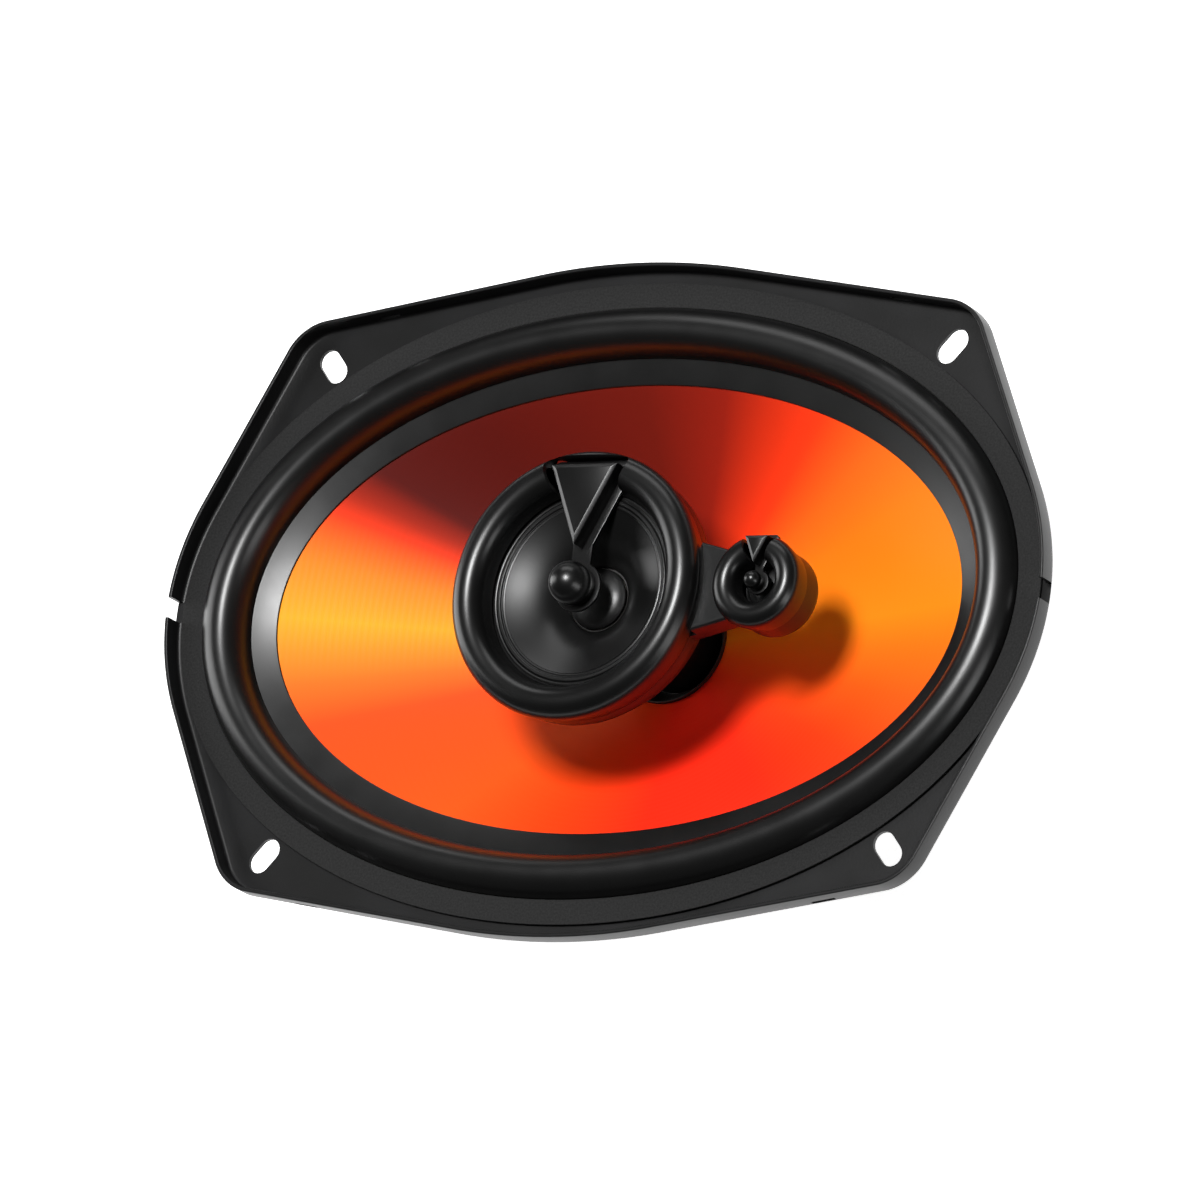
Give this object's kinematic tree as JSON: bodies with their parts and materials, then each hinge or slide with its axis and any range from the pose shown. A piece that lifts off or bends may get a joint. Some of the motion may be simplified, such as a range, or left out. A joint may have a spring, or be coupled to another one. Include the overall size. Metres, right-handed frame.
{
  "type": "coaxial car speaker",
  "caption": "Oval 6 x 9 inch class three-way coaxial car speaker: pressed basket, orange cone, midrange pod on a pillar and a small side tweeter.",
  "frame": {"origin": "centre of the yoke's flat rear face", "axes": "+Z along the speaker's axis out of its front, +X along the oval's long axis towards the small tweeter, +Y along its short axis, away from the terminals"},
  "size_m": [0.236, 0.164, 0.1048],
  "materials": {
    "coated_steel": "satin black electro-coat on pressed steel",
    "gasket": "matt black cork-rubber card",
    "surround_rubber": "moulded black butyl rubber, softly glossy",
    "cone_film": "polypropylene cone with a metallised orange front that reads gold to deep red",
    "spider_cloth": "phenolic-dipped woven cotton, pressed into corrugations",
    "zinc_plate": "low-carbon steel, bright zinc plated",
    "ferrite": "sintered ferrite, dark grey",
    "rivet_steel": "zinc-plated steel, upset heads",
    "coil_former": "black polyimide film",
    "copper_wire": "enamelled copper wire, close wound",
    "pod_plastic": "satin black moulded ABS",
    "bezel_plastic": "smooth black moulded ABS with a soft shine",
    "felt": "black felt",
    "small_dome": "coated black silk",
    "mid_cone_film": "smooth black polymer film",
    "neodymium": "nickel-plated neodymium",
    "phenolic_board": "brown paper phenolic board",
    "tinned_brass": "tin-plated brass",
    "capacitor_sleeve": "dark shrink sleeve on an aluminium can",
    "copper_braid": "braided tinsel copper",
    "lead_jacket": "black PVC twin lead"
  },
  "bodies": {
    "chassis": {"basket": "coated_steel", "gasket_ring": "gasket", "surround": "surround_rubber", "spider": "spider_cloth", "top_plate": "zinc_plate", "magnet": "ferrite", "yoke": "zinc_plate", "basket_rivet_1": "rivet_steel", "basket_rivet_2": "rivet_steel", "basket_rivet_3": "rivet_steel", "basket_rivet_4": "rivet_steel", "pillar": "pod_plastic", "pillar_bolt": "zinc_plate", "pillar_nut": "zinc_plate", "pillar_washer": "zinc_plate", "dust_ring": "felt", "pod_shell": "pod_plastic", "mid_bezel": "bezel_plastic", "mid_diffuser": "bezel_plastic", "tweeter_bezel": "bezel_plastic", "tweeter_diffuser": "bezel_plastic", "tweeter_faceplate": "pod_plastic", "tweeter_surround": "surround_rubber", "tweeter_motor_cup": "zinc_plate", "tweeter_magnet": "neodymium", "mid_frame": "pod_plastic", "mid_surround": "surround_rubber", "mid_motor_cup": "zinc_plate", "mid_magnet": "neodymium", "mid_pole_plate": "zinc_plate", "terminal_board": "phenolic_board", "positive_blade": "tinned_brass", "negative_blade": "tinned_brass", "positive_blade_rivet": "tinned_brass", "negative_blade_rivet": "tinned_brass", "board_rivet_1": "rivet_steel", "board_rivet_2": "rivet_steel", "mid_capacitor": "capacitor_sleeve", "tweeter_capacitor": "capacitor_sleeve", "positive_tinsel_lead": "copper_braid", "negative_tinsel_lead": "copper_braid", "twin_lead": "lead_jacket", "tweeter_link_lead": "lead_jacket"},
    "woofer": {"cone": "cone_film", "voice_coil_former": "coil_former", "voice_coil_winding": "copper_wire"},
    "midrange": {"mid_cone": "mid_cone_film", "mid_dome": "small_dome", "mid_coil_former": "coil_former", "mid_coil_winding": "copper_wire"},
    "tweeter": {"tweeter_dome": "small_dome", "tweeter_coil": "copper_wire"}
  },
  "joints": [
    {"name": "woofer_excursion", "type": "slide", "parent": "chassis", "child": "woofer", "axis": [0, 0, 1], "range_m": [-0.0045, 0.0045], "stiffness_N_per_m": 3000, "deforming": ["surround", "spider", "positive_tinsel_lead", "negative_tinsel_lead"]},
    {"name": "midrange_excursion", "type": "slide", "parent": "chassis", "child": "midrange", "axis": [0, 0, 1], "range_m": [-0.0005, 0.0005], "stiffness_N_per_m": 8000, "deforming": ["mid_surround"]},
    {"name": "tweeter_excursion", "type": "slide", "parent": "chassis", "child": "tweeter", "axis": [0, 0, 1], "range_m": [-0.0002, 0.0002], "stiffness_N_per_m": 8000, "deforming": ["tweeter_surround"]}
  ]
}
